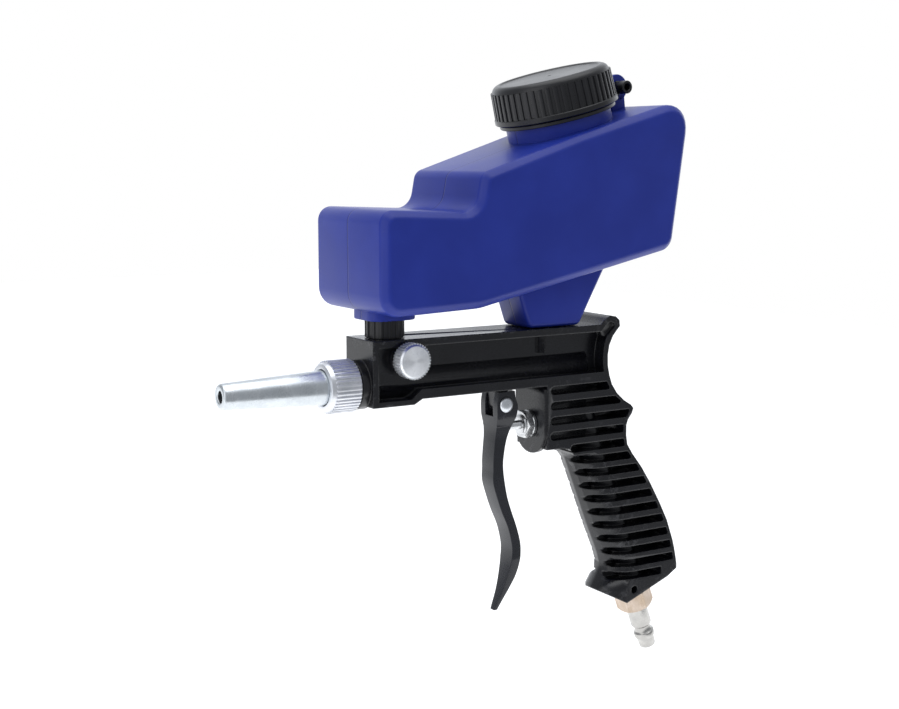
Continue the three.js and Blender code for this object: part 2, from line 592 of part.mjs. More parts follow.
// ---------- cap, liner and tether ----------
const capBottom = CAP.gap;
const capTop = CAP.gap + CAP.height;
const capBlank = turned([
  [CAP.bandR, capBottom], [CAP.bandR, capBottom + 3], [CAP.bandR - 0.4, capBottom + 3],
  [CAP.skirtR, capTop - 3.6], [CAP.skirtR - 0.9, capTop - 1.5], [CAP.skirtR - 2.4, capTop - 0.4],
  [CAP.skirtR - 4.2, capTop],
], capAxis, capOrigin, 60);
addPiece('cap', cut(
  capBlank,
  rod(capAxis, capOrigin, CAP.boreR, 0, capTop - CAP.roof, 50),
  rod(capAxis, capOrigin, CAP.bandR - 6.4, capTop - 0.6, capTop + 5, 40),
  rod(capAxis, capOrigin, 1.1, 0, 60, 10),
), 'blackPlastic');
addPiece('cap_liner', ring([
  [1.5, CAP.neckTop + 0.3], [27.4, CAP.neckTop + 0.3], [27.4, capTop - CAP.roof - 0.3],
  [1.5, capTop - CAP.roof - 0.3],
], capAxis, capOrigin, 40), 'whiteNylon');

function onCap(across, along) {
  const turn = rad(CAP.tilt);
  return [
    CAP.base[0] + across * Math.cos(turn) - along * Math.sin(turn),
    CAP.base[1] + across * Math.sin(turn) + along * Math.cos(turn),
  ];
}

function capTether() {
  const stand = [LUG.x, 0, LUG.z];
  const band = ring([[28, 7.4], [30.4, 7.4], [30.4, 9.4], [28, 9.4]], capAxis, capOrigin, 40);
  const link = alongY([onCap(29, 7.5), onCap(33.8, 7.5), onCap(33.8, 9.3), onCap(29, 9.3)], -6.5, -2.0);
  const strap = alongY([
    onCap(33, 7.5), onCap(35, 7.3), [158.4, 145.8], [156.4, 150.2], [152.3, 149.8], onCap(35.2, 10.2),
    onCap(33, 9.3),
  ], -4.2, -2.0);
  const stud = turned([[3.4, 10.4], [3.4, 3], [2.9, 3], [2.9, -3.4], [2.3, -4.2]], minusY, stand, 20);
  return cut(join(band, link, strap, stud), rod(minusY, stand, 1.8, 5, 20, 14));
}
addPiece('cap_tether', capTether(), 'blackPlastic');

gun.position.set(-GRIP_CENTRE[0], -GRIP_CENTRE[1], -GRIP_CENTRE[2]);
export default gun;
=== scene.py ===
# %% [markdown]
# A hand-held gravity-feed sandblasting gun. Grit waits in the blue hopper, falls through the short black
# spout into the casting, and is thrown out of the long steel nozzle by compressed air that comes in below
# the grip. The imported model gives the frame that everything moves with. This lesson builds the visible
# surface of each piece around that frame, in metres, in the same place.
# %% Load the frame
import math
import bmesh
import bpy
from mathutils import Matrix, Vector


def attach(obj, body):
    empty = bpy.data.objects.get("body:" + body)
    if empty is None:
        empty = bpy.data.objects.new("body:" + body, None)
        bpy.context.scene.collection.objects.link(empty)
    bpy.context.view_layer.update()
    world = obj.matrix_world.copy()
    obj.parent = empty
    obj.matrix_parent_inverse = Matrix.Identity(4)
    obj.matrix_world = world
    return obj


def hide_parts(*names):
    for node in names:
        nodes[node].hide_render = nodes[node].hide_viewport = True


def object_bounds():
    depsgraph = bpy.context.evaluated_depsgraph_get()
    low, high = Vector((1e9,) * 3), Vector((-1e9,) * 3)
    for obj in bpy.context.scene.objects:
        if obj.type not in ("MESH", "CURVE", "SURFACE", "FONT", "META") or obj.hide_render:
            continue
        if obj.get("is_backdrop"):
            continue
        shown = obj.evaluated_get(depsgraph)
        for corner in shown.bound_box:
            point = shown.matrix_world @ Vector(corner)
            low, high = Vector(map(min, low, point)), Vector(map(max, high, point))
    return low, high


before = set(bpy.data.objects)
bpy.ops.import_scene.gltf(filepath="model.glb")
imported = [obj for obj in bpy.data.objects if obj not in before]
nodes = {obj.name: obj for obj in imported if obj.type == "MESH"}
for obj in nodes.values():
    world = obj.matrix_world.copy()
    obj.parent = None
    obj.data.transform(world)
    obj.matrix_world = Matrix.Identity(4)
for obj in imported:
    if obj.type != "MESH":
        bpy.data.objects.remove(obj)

cad_box = [list(corner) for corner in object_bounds()]

# %% [markdown]
# The gun is easiest to describe in millimetres from the front face of its casting, on the nozzle's
# axis. The frame's origin is the middle of the grip, and its unit is the metre, so one matrix carries every
# finished shape from the workbench numbers to its place.
# %% Workbench to frame
PALM = Vector((155.0, 0.0, -80.0))
TO_FRAME = Matrix.Scale(0.001, 4) @ Matrix.Translation(-PALM)
ALONG_X = Vector((1, 0, 0))
ALONG_Y = Vector((0, 1, 0))
ALONG_Z = Vector((0, 0, 1))
TOWARD_SCREW = Vector((0, -1, 0))
CAP_TILT = math.radians(15.2)
CAP_AXIS = Vector((-math.sin(CAP_TILT), 0, math.cos(CAP_TILT)))
CAP_BASE = Vector((119.2, 0, 123.8))
INLET_TILT = math.radians(20.3)
INLET_AXIS = Vector((math.sin(INLET_TILT), 0, -math.cos(INLET_TILT)))
INLET_BASE = Vector((172.9, 0, -135.2))
VALVE_BASE = Vector((0, 0, -29.2))
SCREW_BASE = Vector((18.4, 0, 12.5))
PIVOT = Vector((80.9, 0, -16.3))
SPOUT_BASE = Vector((14, 0, 0))
NOZZLE_BASE = Vector((0, 0, 0))
TAB_CENTRE = Vector((154.6, 0, 146.5))


def placed(axis, base):
    """The matrix that stands a shape made along +Z on an axis, at a base point."""
    return Matrix.Translation(base) @ ALONG_Z.rotation_difference(axis).to_matrix().to_4x4()


print("workbench origin in the frame:", [round(v, 4) for v in (TO_FRAME @ Vector((0, 0, 0)))])

# %% [markdown]
# Materials are written as small circuits of nodes. Wiring them by hand takes many lines, so one class wraps
# an output socket and lets it be used in ordinary arithmetic, and one method makes every other kind of node.
# %% A wire that does arithmetic
class Wire:
    """An output socket. Arithmetic on it adds Math nodes."""

    def __init__(self, board, socket):
        self.board = board
        self.socket = socket

    def math(self, operation, other=None, flip=False):
        first, second = (other, self) if flip else (self, other)
        sockets = {0: first} if second is None else {0: first, 1: second}
        return self.board.node("ShaderNodeMath", {"operation": operation}, sockets)

    def __add__(self, other):
        return self.math("ADD", other)

    __radd__ = __add__

    def __mul__(self, other):
        return self.math("MULTIPLY", other)

    __rmul__ = __mul__

    def __sub__(self, other):
        return self.math("SUBTRACT", other)

    def __rsub__(self, other):
        return self.math("SUBTRACT", other, flip=True)

    def __truediv__(self, other):
        return self.math("DIVIDE", other)

    def __pow__(self, other):
        return self.math("POWER", other)

    def sine(self):
        return self.math("SINE")

    def size(self):
        return self.math("ABSOLUTE")

    def between(self, low, high):
        """0 below low, 1 above high, and a smooth rise from one to the other."""
        return self.board.node("ShaderNodeMapRange", {"interpolation_type": "SMOOTHSTEP"},
                               {0: self, 1: low, 2: high, 3: 0.0, 4: 1.0})


class Board:
    """The node tree of a material or of the world, named by its owner, and the shader that its nodes feed."""

    def __init__(self, owner, shader="Principled BSDF"):
        self.material = owner
        self.material.use_nodes = True
        self.tree = owner.node_tree
        self.shader = self.tree.nodes[shader]

    def node(self, kind, settings=None, sockets=None, out=0):
        made = self.tree.nodes.new(kind)
        for key, value in (settings or {}).items():
            if key == "stops":
                ramp = made.color_ramp
                while len(ramp.elements) < len(value):
                    ramp.elements.new(0.5)
                for element, (place, colour) in zip(ramp.elements, value):
                    element.position = place
                    element.color = colour
            else:
                setattr(made, key, value)
        for key, value in (sockets or {}).items():
            self.join(value, made.inputs[key])
        return Wire(self, made.outputs[out])

    def join(self, value, socket):
        if isinstance(value, Wire):
            self.tree.links.new(value.socket, socket)
        else:
            socket.default_value = value

    def place(self):
        return self.node("ShaderNodeTexCoord", out="Object")

    def noise(self, scale, detail=3.0, rough=0.55, stretch=(1, 1, 1)):
        where = self.node("ShaderNodeMapping", None, {"Vector": self.place(), "Scale": stretch})
        return self.node("ShaderNodeTexNoise", None, {
            "Vector": where, "Scale": scale, "Detail": detail, "Roughness": rough}, out="Fac")

    def blend(self, amount, one, two):
        return self.node("ShaderNodeMix", {"data_type": "RGBA"}, {0: amount, 6: one, 7: two}, out=2)

    def bump(self, height, distance, strength=1.0, onto=None):
        sockets = {"Height": height, "Distance": distance, "Strength": strength}
        if onto is not None:
            sockets["Normal"] = onto
        return self.node("ShaderNodeBump", None, sockets)

    def finish(self, **sockets):
        for key, value in sockets.items():
            self.join(value, self.shader.inputs[key.replace("_", " ")])
        print("nodes of", self.material.name, ":", len(self.tree.nodes))
        return self.material


# %% [markdown]
# The casting and the trigger are light alloy under satin black paint. Sprayed paint settles into a very
# fine orange peel and wears thin along the sharpest edges. The edge mask comes from the Geometry node's
# pointiness, which is high on convex edges. The Bevel node rounds the shading of the edges, by a millimetre
# on the casting and less on the trigger, which catches the light as a real cast edge does.
# %% Painted casting
def painted_casting(name, dark, light, edge_round):
    board = Board(bpy.data.materials.new(name))
    blotch = board.noise(38.0, 4.0)
    peel = board.noise(1500.0, 2.0, 0.5)
    grit = board.noise(5200.0, 1.0, 0.5)
    edge = board.node("ShaderNodeNewGeometry", out="Pointiness").between(0.52, 0.60)
    rub = board.noise(260.0, 5.0, 0.7).between(0.5, 0.66)
    worn = edge * rub
    base = board.blend(blotch.between(0.35, 0.7), (*dark, 1), (*light, 1))
    base = board.blend(worn * 0.35, base, (0.12, 0.12, 0.13, 1))
    rough = 0.19 + 0.09 * blotch + 0.06 * grit + 0.06 * worn
    rounded = board.node("ShaderNodeBevel", {"samples": 6}, {"Radius": edge_round})
    relief = board.bump(peel * 0.7 + grit * 0.3, 0.00006, 0.5, onto=rounded)
    return board.finish(Base_Color=base, Roughness=rough, Normal=relief, Specular_IOR_Level=0.5)


satin_black = painted_casting(
    "satin_black_casting", (0.0030, 0.0032, 0.0050), (0.0055, 0.0058, 0.0085), 0.0010)
# The trigger wears the same satin black paint as the casting; this copy is painted lighter, painted light
# standing in for the light that falls on the lever.
trigger_black_painted_light = painted_casting("satin_black_lever_painted_light", (0.009, 0.010, 0.014), (0.014, 0.015, 0.021), 0.0004)

# %% [markdown]
# The hopper is blown from blue plastic. Blown plastic has a slow waviness, a fine satin skin from the mould,
# small scuffs, and one thin parting line where the two mould halves met, right round the middle plane. The
# line is a mask on the distance from the middle plane, so it follows every turn of the outline.
# %% Blue blown plastic
PARTING = 0.00036


def blown_plastic(name, deep, pale):
    board = Board(bpy.data.materials.new(name))
    where = board.place()
    across = board.node("ShaderNodeSeparateXYZ", None, {0: where}, out="Y").size()
    line = 1 - across.between(PARTING * 0.4, PARTING * 1.6)
    wave = board.noise(22.0, 2.0)
    skin = board.noise(2400.0, 2.0, 0.5)
    scratch = board.noise(190.0, 6.0, 0.75, (1, 1, 7)).between(0.64, 0.72)
    cloud = board.noise(30.0, 3.0)
    base = board.blend(cloud.between(0.3, 0.75), (*deep, 1), (*pale, 1))
    base = board.blend(line * 0.8, base, (deep[0] * 0.4, deep[1] * 0.4, deep[2] * 0.45, 1))
    base = board.blend(scratch * 0.10, base, (0.16, 0.18, 0.42, 1))
    rough = 0.33 + 0.10 * cloud + 0.12 * scratch
    swell = board.bump(wave, 0.0006, 0.35)
    fine = board.bump(skin * 0.5 - line * 2.2 - scratch * 0.2, 0.00008, 0.6, onto=swell)
    return board.finish(Base_Color=base, Roughness=rough, Normal=fine, IOR=1.49, Specular_IOR_Level=0.36)


blue_plastic = blown_plastic("blue_blown_plastic", (0.010, 0.026, 0.262), (0.014, 0.033, 0.308))

# %% [markdown]
# The cap, its strap and the spout are moulded black plastic with a satin skin. Handling leaves a dull
# grey bloom on it and very fine scratches.
# %% Black moulded plastic
def moulded_plastic(name, dark, light, shine):
    board = Board(bpy.data.materials.new(name))
    cloud = board.noise(55.0, 4.0)
    skin = board.noise(2800.0, 2.0, 0.5)
    scratch = board.noise(420.0, 5.0, 0.7, (6, 1, 1)).between(0.62, 0.72)
    base = board.blend(cloud.between(0.3, 0.75), (*dark, 1), (*light, 1))
    base = board.blend(scratch * 0.10, base, (0.10, 0.10, 0.11, 1))
    rough = shine + 0.12 * cloud + 0.08 * scratch
    fine = board.bump(skin + scratch * 0.4, 0.00005, 0.5)
    return board.finish(Base_Color=base, Roughness=rough, Normal=fine, IOR=1.5)


black_plastic = moulded_plastic(
    "black_moulded_plastic", (0.0045, 0.0048, 0.0065), (0.0080, 0.0084, 0.0110), 0.26)
black_rubber = moulded_plastic("black_rubber", (0.008, 0.008, 0.008), (0.012, 0.012, 0.012), 0.7)
white_nylon = moulded_plastic("white_nylon", (0.62, 0.61, 0.56), (0.72, 0.71, 0.66), 0.4)

# %% [markdown]
# Turned metal carries the marks of the lathe tool: shallow rings round the axis on its faces and sides. The
# distance from the axis drives the rings on a face, and the distance along it drives those on a side. A slow
# noise breaks both, because a real tool chatters, and smudges vary the shine. The inside of a bore can get
# painted shade, a dark colour that stands in for the light that hardly comes back out of it.
# %% Turned and plated metals
def turned_metal(name, base_point, axis, dull, bright, shine, pitch, depth, stain=None, bore=None):
    board = Board(bpy.data.materials.new(name))
    centre = TO_FRAME @ base_point

    def vector(operation, sockets, out=0):
        return board.node("ShaderNodeVectorMath", {"operation": operation}, sockets, out)

    offset = vector("SUBTRACT", {0: board.place(), 1: tuple(centre)})
    along = vector("DOT_PRODUCT", {0: offset, 1: tuple(axis)}, "Value")
    shadow = vector("CROSS_PRODUCT", {0: offset, 1: tuple(axis)})
    radius = vector("LENGTH", {0: shadow}, "Value")
    chatter = board.noise(900.0, 3.0)
    turns = 2 * math.pi / pitch
    rings = (radius * turns + chatter * 2.5).sine() + (along * turns + chatter * 2.5).sine()
    smudge = board.noise(120.0, 4.0, 0.6)
    speck = board.noise(1900.0, 2.0, 0.5).between(0.62, 0.70)
    base = board.blend(smudge.between(0.35, 0.7), (*dull, 1), (*bright, 1))
    base = board.blend(speck * 0.25, base, (*(stain or (0.35, 0.35, 0.36)), 1))
    # Painted shade: inside the bore the colour is darkened to stand in for the light that hardly comes back out
    # of it.
    if bore:
        base = board.blend(1 - radius.between(bore * 0.96, bore * 1.06), base, (0.03, 0.032, 0.035, 1))
    rough = shine + 0.10 * smudge + 0.03 * rings + 0.10 * speck
    relief = board.bump(rings * 0.5 - speck * 0.4, depth, 0.6)
    return board.finish(Base_Color=base, Roughness=rough, Metallic=1.0, Normal=relief)


bright_steel = turned_metal("plated_nozzle_steel", NOZZLE_BASE, ALONG_X,
                            (0.60, 0.64, 0.67), (0.72, 0.76, 0.79), 0.24, 0.0006, 0.000012, bore=0.0029)
nut_aluminium = turned_metal("turned_nut_aluminium", NOZZLE_BASE, ALONG_X,
                             (0.72, 0.74, 0.78), (0.86, 0.87, 0.91), 0.30, 0.0005, 0.00002)
knob_aluminium = turned_metal("turned_knob_aluminium", SCREW_BASE, ALONG_Y,
                              (0.76, 0.78, 0.81), (0.90, 0.92, 0.95), 0.30, 0.00045, 0.00012)
pin_zinc = turned_metal("zinc_plated_pin", PIVOT, ALONG_Y,
                        (0.62, 0.64, 0.68), (0.76, 0.79, 0.83), 0.26, 0.0007, 0.00001)
valve_nickel = turned_metal("nickel_valve", VALVE_BASE, ALONG_X,
                            (0.64, 0.65, 0.66), (0.78, 0.79, 0.80), 0.20, 0.0006, 0.000015)
plug_nickel = turned_metal("nickel_plug", INLET_BASE, INLET_AXIS,
                           (0.46, 0.45, 0.43), (0.60, 0.59, 0.56), 0.22, 0.0005, 0.000015)
pale_brass = turned_metal("pale_brass", INLET_BASE, INLET_AXIS,
                          (0.48, 0.38, 0.29), (0.60, 0.50, 0.42), 0.24, 0.0006, 0.000015, (0.42, 0.26, 0.18))

# %% [markdown]
# Every piece goes through the same last steps: recalculate its normals, carry it into the frame, smooth the
# shading where the surface turns gently, give it its material, and let it ride on its body. A few helpers
# cover the shapes that come back again and again: a turned profile, a plate cut from an outline, and a ring
# of ridges made by copying one small bar round an axis.
# %% Helpers for shapes
def hand_over(name, bm, body, material, replaces=(), crease=32.0):
    bmesh.ops.recalc_face_normals(bm, faces=bm.faces)
    bmesh.ops.transform(bm, matrix=TO_FRAME, verts=bm.verts)
    mesh = bpy.data.meshes.new(name)
    bm.to_mesh(mesh)
    bm.free()
    mesh.shade_smooth()
    mesh.set_sharp_from_angle(angle=math.radians(crease))
    mesh.materials.append(material)
    piece = bpy.data.objects.new(name, mesh)
    bpy.context.scene.collection.objects.link(piece)
    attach(piece, body)
    if replaces:
        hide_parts(*replaces)
    print("piece", name, "has", len(mesh.polygons), "faces on", body)
    return piece


def spin_profile(bm, profile, axis, base, steps=96):
    """Turns a profile of (radius, distance along the axis) into a closed solid. Tags mark what is placed."""
    spots = [bm.verts.new((r, 0, h)) for r, h in profile]
    edges = [bm.edges.new(pair) for pair in zip(spots, spots[1:])]
    if profile[0][0] > 0 and profile[-1][0] > 0:
        edges.append(bm.edges.new((spots[-1], spots[0])))
    bmesh.ops.spin(bm, geom=spots + edges, cent=(0, 0, 0), axis=(0, 0, 1), angle=2 * math.pi,
                   steps=steps, use_merge=True, use_duplicate=False)
    bmesh.ops.remove_doubles(bm, verts=bm.verts, dist=0.0005)
    fresh = [v for v in bm.verts if not v.tag]
    bmesh.ops.transform(bm, matrix=placed(axis, base), verts=fresh)
    for vert in bm.verts:
        vert.tag = True


def turned(profile, axis, base, steps=96):
    bm = bmesh.new()
    spin_profile(bm, profile, axis, base, steps)
    return bm


def bevel(bm, edges, width, segments=3):
    return bmesh.ops.bevel(bm, geom=list(edges), offset=width, offset_type="OFFSET", segments=segments,
                           profile=0.5, affect="EDGES", clamp_overlap=True, material=-1)


def sharp_edges(bm, angle=30.0):
    return [e for e in bm.edges if len(e.link_faces) == 2 and e.calc_face_angle(0) > math.radians(angle)]


def plate(points, low, high):
    """An outline in the middle plane, (x, z), drawn out across the gun from y = low to y = high."""
    bm = bmesh.new()
    face = bm.faces.new([bm.verts.new((x, low, z)) for x, z in points])
    grown = bmesh.ops.extrude_face_region(bm, geom=[face])
    moved = [item for item in grown["geom"] if isinstance(item, bmesh.types.BMVert)]
    bmesh.ops.translate(bm, verts=moved, vec=(0, high - low, 0))
    bmesh.ops.recalc_face_normals(bm, faces=bm.faces)
    return bm


def add_to(bm, other):
    """Puts a copy of one finished shape into another, then lets the first go."""
    mesh = bpy.data.meshes.new("loose")
    other.to_mesh(mesh)
    other.free()
    bm.from_mesh(mesh)
    bpy.data.meshes.remove(mesh)
    return bm


def ring_of_bars(count, radius, size, low, high, axis, base, rounding, lean=0.0):
    """Ridges round an axis: one bevelled bar, leaning out at its foot, copied by a spin that keeps copies."""
    bm = bmesh.new()
    bmesh.ops.create_cube(bm, size=1.0)
    bmesh.ops.scale(bm, vec=(size[0], size[1], high - low), verts=bm.verts)
    bevel(bm, [e for e in bm.edges if abs((e.verts[0].co - e.verts[1].co).z) > 1e-6], rounding, 2)
    bmesh.ops.translate(bm, vec=(lean, 0, 0), verts=[v for v in bm.verts if v.co.z < 0])
    bmesh.ops.translate(bm, vec=(radius, 0, (low + high) / 2), verts=bm.verts)
    step = 2 * math.pi / count
    bmesh.ops.spin(bm, geom=bm.verts[:] + bm.edges[:] + bm.faces[:], cent=(0, 0, 0), axis=(0, 0, 1),
                   angle=step * (count - 1), steps=count - 1, use_merge=False, use_duplicate=True)
    bmesh.ops.transform(bm, matrix=placed(axis, base), verts=bm.verts)
    return bm


def carved(bm, cutter, operation="DIFFERENCE"):
    """Joins or cuts two closed shapes with a Boolean modifier, and returns the result as a new shape."""
    shapes = []
    for source in (bm, cutter):
        bmesh.ops.recalc_face_normals(source, faces=source.faces)
        mesh = bpy.data.meshes.new("loose")
        source.to_mesh(mesh)
        source.free()
        shape = bpy.data.objects.new("loose", mesh)
        bpy.context.scene.collection.objects.link(shape)
        shapes.append(shape)
    modifier = shapes[0].modifiers.new("carve", "BOOLEAN")
    modifier.object = shapes[1]
    modifier.operation = operation
    modifier.solver = "EXACT"
    graph = bpy.context.evaluated_depsgraph_get()
    result = bmesh.new()
    result.from_mesh(shapes[0].evaluated_get(graph).to_mesh())
    for shape in shapes:
        mesh = shape.data
        bpy.data.objects.remove(shape)
        bpy.data.meshes.remove(mesh)
    return result


print("helpers ready")

# %% [markdown]
# The casting is the hardest shape here: a flanged barrel, a hooked tail, a grip of fifteen ribs and all
# its bores. The frame already holds that exact solid, cut by boolean operations, so the surface starts from
# a copy of it. The copy is welded, its flat regions are merged back into single faces, and the shading
# does the rounding.
# %% Gun casting
bm = bmesh.new()
bm.from_mesh(nodes["gun_body"].data)
bmesh.ops.remove_doubles(bm, verts=bm.verts, dist=1e-6)
bmesh.ops.dissolve_limit(bm, angle_limit=math.radians(0.6), verts=bm.verts, edges=bm.edges)
bmesh.ops.transform(bm, matrix=TO_FRAME.inverted(), verts=bm.verts)
hand_over("casting", bm, "gun", satin_black, ["gun_body"], crease=30.0)

# %% [markdown]
# The hopper's side view is a stepped, tilted box with generous corners. A plate of that outline is drawn
# out across the gun, the corners that run across are rounded first, each with its own radius, and then the
# rims of both sides get a wide chamfer whose own borders are softened.
# %% Hopper shell
HOPPER_CORNERS = [(-6, 35.4, 10), (49, 37.4, 30), (167.8, 62.7, 8), (179.3, 141.5, 13), (108, 121.6, 60),
                  (50, 102.6, 5.5), (46.5, 84, 9), (-6, 86.2, 7)]
HOPPER_HALF = 35.7
RIM_CHAMFER = 3.5
RIM_SOFTENING = 1.2
bm = plate([(x, z) for x, z, _ in HOPPER_CORNERS], -HOPPER_HALF, HOPPER_HALF)
for x, z, radius in HOPPER_CORNERS:
    here = [e for e in bm.edges if all(abs(v.co.x - x) < 0.01 and abs(v.co.z - z) < 0.01 for v in e.verts)]
    turn = here[0].calc_face_angle(0)
    bevel(bm, here, radius * math.tan(turn / 2), 8)
rims = [e for e in bm.edges if all(abs(abs(v.co.y) - HOPPER_HALF) < 0.01 for v in e.verts)
        and abs(e.verts[0].co.y - e.verts[1].co.y) < 0.01]
chamfer = bevel(bm, rims, RIM_CHAMFER, 1)
soft = set()
for face in chamfer["faces"]:
    for edge in face.edges:
        if any(other not in chamfer["faces"] for other in edge.link_faces):
            soft.add(edge)
bevel(bm, soft, RIM_SOFTENING, 4)
hopper = bm

# %% [markdown]
# Under the shell sit a flat pad that carries the spout and a wedge-shaped foot that rests on the barrel.
# Above it stand the round neck, with its thread ridges, and a flat tab that the cap's strap is buttoned to.
# %% Hopper neck, pad, foot and tab
THREAD_RIDGES = 3
THREAD_FOOT = 12.0
THREAD_PITCH = 4.0
PAD_CORNER = 7.0
FOOT_ROUNDING = 2.4
neck = turned([(24.8, -4), (27.0, -4), (27.6, 0.3), (27.6, 23.4), (27.0, 24.1), (25.4, 24.1), (24.8, 23.5)],
              CAP_AXIS, CAP_BASE, 128)
for turn in range(THREAD_RIDGES):
    high = THREAD_FOOT + THREAD_PITCH * turn
    spin_profile(neck, [(27.5, high), (27.95, high + 0.5), (27.95, high + 1.1), (27.5, high + 1.6)],
                 CAP_AXIS, CAP_BASE, 128)
add_to(hopper, neck)
pad = plate([(1, 31.5), (27, 31.5), (27, 38), (1, 38)], -12.7, 12.7)
bevel(pad, [e for e in pad.edges if abs((e.verts[0].co - e.verts[1].co).z) > 1], PAD_CORNER, 8)
bevel(pad, [e for e in sharp_edges(pad) if max(v.co.z for v in e.verts) < 31.6], 0.8, 3)
add_to(hopper, pad)
foot = plate([(92.5, 22.8), (124, 22.8), (142, 55), (84.5, 46)], -12.6, 12.6)
bevel(foot, sharp_edges(foot), FOOT_ROUNDING, 5)
add_to(hopper, foot)
tab = plate([(152.2, 131), (161, 131), (159.5, 143.5), (150.4, 141.8)], -1.7, 1.7)
bevel(tab, sharp_edges(tab), 0.5, 2)
add_to(hopper, tab)
add_to(hopper, turned([(3.15, -1.7), (6.6, -1.7), (7.0, -1.3), (7.0, 1.3), (6.6, 1.7), (3.15, 1.7)],
                      TOWARD_SCREW, TAB_CENTRE, 64))
hand_over("hopper_shell", hopper, "gun", blue_plastic, ["hopper"], crease=28.0)

# %% [markdown]
# The cap is a turned bell with fifty grip ribs. Its profile is spun with a rounded shoulder and a shallow
# dished top, and the ribs are one small bar copied round the skirt.
# %% Screw cap
CAP_RIBS = 50
low = 9.9
top = 29.5
cap = turned([
    (28.2, low), (32.0, low), (32.4, low + 0.4), (32.4, low + 2.5), (32.1, low + 2.9), (31.4, low + 3.1),
    (30.9, top - 4.2), (30.6, top - 2.6), (29.9, top - 1.3), (28.8, top - 0.45), (27.6, top),
    (26.4, top - 0.05), (25.9, top - 0.5), (25.2, top - 0.6), (1.1, top - 0.6), (0.9, top - 0.8),
    (0.9, top - 3.2), (28.2, top - 3.2),
], CAP_AXIS, CAP_BASE, 150)
add_to(cap, ring_of_bars(CAP_RIBS, 30.95, (1.1, 2.3), low + 2.9, top - 3.3, CAP_AXIS, CAP_BASE, 0.4,
                         lean=0.55))
hand_over("screw_cap_shell", cap, "screw_cap", black_plastic, ["cap"], crease=35.0)
hand_over("cap_liner_disc", turned([
    (1.5, 24.4), (27.2, 24.4), (27.4, 24.6), (27.4, 25.8), (27.2, 26.0), (1.5, 26.0)],
    CAP_AXIS, CAP_BASE, 96), "liner_carrier", white_nylon, ["cap_liner"])

# %% [markdown]
# A loose black ring lies round the neck under the cap, and a short strap joins it to a hollow stud that is
# pushed through the hopper's tab, so the cap can't be lost.
# %% Cap strap
def by_neck(across, along):
    """A point of the middle plane, (x, z), measured across and along the neck."""
    spot = CAP_BASE + CAP_AXIS * along + Vector((CAP_AXIS.z, 0, -CAP_AXIS.x)) * across
    return spot.x, spot.z


strap = turned([
    (28.1, 7.7), (28.4, 7.4), (30.1, 7.4), (30.4, 7.7), (30.4, 9.1), (30.1, 9.4), (28.4, 9.4), (28.1, 9.1),
], CAP_AXIS, CAP_BASE, 128)
arm = plate([by_neck(33, 7.5), by_neck(35, 7.3), (158.4, 145.8), (156.4, 150.2), (152.3, 149.8),
             by_neck(35.2, 10.2), by_neck(33, 9.3)], -4.2, -2.0)
bevel(arm, sharp_edges(arm), 0.5, 3)
add_to(strap, arm)
link = plate([by_neck(29, 7.5), by_neck(33.8, 7.5), by_neck(33.8, 9.3), by_neck(29, 9.3)], -6.5, -2.0)
bevel(link, sharp_edges(link), 0.3, 2)
add_to(strap, link)
add_to(strap, turned([
    (0, 4.5), (1.8, 4.5), (1.8, 10.0), (2.1, 10.4), (3.1, 10.4), (3.4, 10.1), (3.4, 3.0), (2.9, 3.0),
    (2.9, -3.4), (2.3, -4.2), (0, -4.2),
], TOWARD_SCREW, TAB_CENTRE, 64))
hand_over("cap_strap", strap, "gun", black_plastic, ["cap_tether"])

# %% [markdown]
# The spout is a short black tube with upright ribs, seen between the hopper and the casting. Only its collar
# shows, and its two spigots go into the hopper and the casting.
# %% Spout
SPOUT_RIBS = 14
spout = turned([
    (5.2, 8), (7.8, 8), (8.0, 8.4), (8.0, 22.7), (9.2, 22.7), (9.2, 31.2), (7.4, 31.2), (7.4, 43.6),
    (7.0, 44), (5.2, 44),
], ALONG_Z, SPOUT_BASE, 96)
add_to(spout, ring_of_bars(SPOUT_RIBS, 9.0, (1.6, 2.0), 22.75, 31.15, ALONG_Z, SPOUT_BASE, 0.6))
hand_over("spout_tube", spout, "gun", black_plastic, ["hopper_spout"])

# %% [markdown]
# The nozzle is one long steel cone with a rounded mouth, and the nut that holds it is turned from aluminium,
# with forty straight ridges for the fingers. A narrow ring of shadow shows between the two.
# %% Nozzle and nut
nozzle = turned([
    (2.8, -72.9), (3.3, -73.5), (3.8, -73.6), (4.9, -73.6), (5.6, -73.45), (6.05, -73.0), (6.3, -72.2),
    (8.6, -21.0), (8.6, -17.9), (9.8, -17.9), (9.8, -15.5), (2.8, -15.5),
], ALONG_X, NOZZLE_BASE, 128)
hand_over("nozzle_tube", nozzle, "gun", bright_steel, ["nozzle"], crease=40.0)
NUT_RIDGES = 40
nut = turned([
    (8.95, -20.6), (9.3, -21.0), (10.6, -21.0), (11.4, -20.6), (12.35, -18.6), (12.35, -5.3), (11.9, -4.7),
    (10.2, -4.6), (10.2, -19.0), (8.95, -19.0),
], ALONG_X, NOZZLE_BASE, 135)
ridges = ring_of_bars(NUT_RIDGES, 12.3, (1.5, 1.15), -18.7, -5.5, ALONG_X, NOZZLE_BASE, 0.34)
add_to(nut, ridges)
hand_over("knurled_nut", nut, "nut", nut_aluminium, ["nozzle_nut"])

# %% [markdown]
# The thumb screw that clamps the spout is an aluminium disc with a fine knurl, a chamfered rim and a face
# that is turned flat.
# %% Thumb screw
KNURL_TEETH = 36
knob = turned([
    (0, 15.5), (7.9, 15.5), (8.4, 15.9), (8.4, 22.1), (8.3, 22.5), (7.6, 23.3), (7.2, 23.4), (0, 23.4),
], TOWARD_SCREW, SCREW_BASE, 128)
add_to(knob, ring_of_bars(KNURL_TEETH, 8.4, (1.0, 0.8), 16.1, 22.4, TOWARD_SCREW, SCREW_BASE, 0.16))
hand_over("thumb_disc", knob, "thumb_screw", knob_aluminium, ["lock_knob"])

